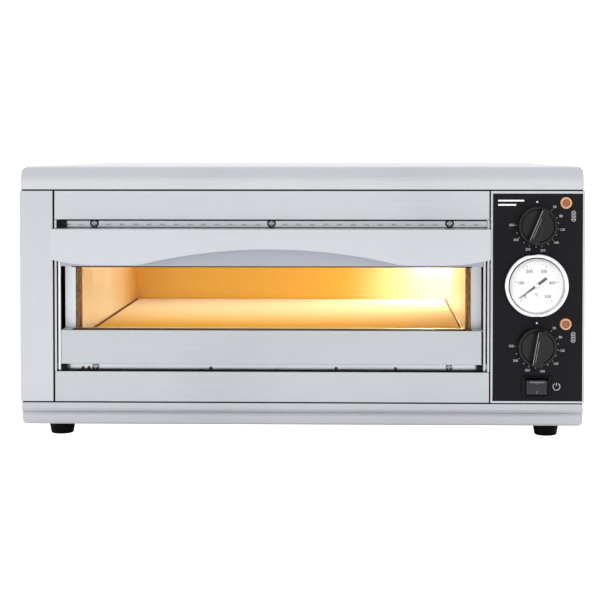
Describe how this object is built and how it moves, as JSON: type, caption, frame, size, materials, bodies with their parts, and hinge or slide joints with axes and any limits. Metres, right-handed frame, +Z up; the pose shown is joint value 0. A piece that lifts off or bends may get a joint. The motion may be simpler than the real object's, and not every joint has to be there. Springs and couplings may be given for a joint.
{
  "type": "deck oven",
  "caption": "Countertop electric deck oven with a drop-down glazed door, wave-edged hood handle, baking stone and a side control column.",
  "frame": {"origin": "on the floor under the middle of the whole object's box, feet down", "axes": "+X to the right as seen from the front, -Y out of the door, +Z up"},
  "size_m": [0.568, 0.544, 0.2774],
  "materials": {
    "stainless": "brushed",
    "galvanised": "matt, spangled",
    "liner": "aluminised, heat tinted",
    "chrome": "polished",
    "black_film": "fine matt texture, white print",
    "black_plastic": "moulded, satin",
    "hinge_black": "matt",
    "rubber": "matt",
    "glass": "clear",
    "stone": "unglazed, fine grain",
    "element": "heat oxidised",
    "wool": "ceramic wool blanket",
    "seal": "woven glass rope",
    "ceramic": "glazed",
    "dial_white": "matt white print",
    "lamp_amber": "ribbed lens",
    "copper": "drawn"
  },
  "bodies": {
    "cabinet": {"back_panel": "galvanised", "baking_stone": "stone", "base_pan": "stainless", "bottom_insulation": "wool", "cable_gland": "black_plastic", "chamber_shell": "liner", "control_overlay": "black_film", "control_panel": "stainless", "foot_front_left": "rubber", "foot_front_right": "rubber", "foot_rear_left": "rubber", "foot_rear_right": "rubber", "gauge_case": "chrome", "gauge_dial": "dial_white", "gauge_glass": "glass", "gauge_probe": "copper", "hinge_block_left": "hinge_black", "hinge_block_right": "hinge_black", "lamp_bulb": "ceramic", "lamp_holder": "ceramic", "lamp_lens": "glass", "left_side_panel": "stainless", "lintel_screw_1": "chrome", "lintel_screw_2": "chrome", "lintel_screw_3": "chrome", "lower_front_panel": "stainless", "lower_heater": "element", "lower_indicator": "lamp_amber", "lower_sensor": "copper", "lower_thermostat": "ceramic", "mouth_frame": "stainless", "mouth_seal": "seal", "partition_plate": "galvanised", "right_side_panel": "stainless", "side_insulation": "wool", "sill_screw_1": "chrome", "sill_screw_2": "chrome", "switch_body": "black_plastic", "terminal_block": "ceramic", "top_cover": "stainless", "top_insulation": "wool", "upper_front_panel": "stainless", "upper_heater": "element", "upper_indicator": "lamp_amber", "upper_sensor": "copper", "upper_thermostat": "ceramic"},
    "door": {"door_bottom_rail": "stainless", "door_glass": "glass", "door_hood": "stainless", "door_left_stile": "stainless", "door_right_stile": "stainless", "door_top_rail": "stainless", "hinge_pin_left": "chrome", "hinge_pin_right": "chrome"},
    "upper_dial": {"upper_knob": "black_plastic", "upper_knob_shaft": "galvanised"},
    "lower_dial": {"lower_knob": "black_plastic", "lower_knob_shaft": "galvanised"},
    "rocker": {"switch_rocker": "black_plastic"},
    "pointer": {"gauge_pointer": "black_plastic"}
  },
  "joints": [
    {"name": "door_hinge", "type": "hinge", "parent": "cabinet", "child": "door", "pos_m": [-0.03005, -0.241, 0.0745], "axis": [1, 0, 0], "range_deg": [0, 90]},
    {"name": "upper_knob_turn", "type": "hinge", "parent": "cabinet", "child": "upper_dial", "pos_m": [0.236, -0.244, 0.2184], "axis": [0, 1, 0], "range_deg": [-20, 270]},
    {"name": "lower_knob_turn", "type": "hinge", "parent": "cabinet", "child": "lower_dial", "pos_m": [0.236, -0.244, 0.0971], "axis": [0, 1, 0], "range_deg": [-7, 283]},
    {"name": "rocker_tilt", "type": "hinge", "parent": "cabinet", "child": "rocker", "pos_m": [0.236, -0.241, 0.057], "axis": [1, 0, 0], "range_deg": [-16, 0]},
    {"name": "pointer_turn", "type": "hinge", "parent": "cabinet", "child": "pointer", "pos_m": [0.2352, -0.244, 0.1587], "axis": [0, 1, 0], "range_deg": [0, 254]}
  ]
}
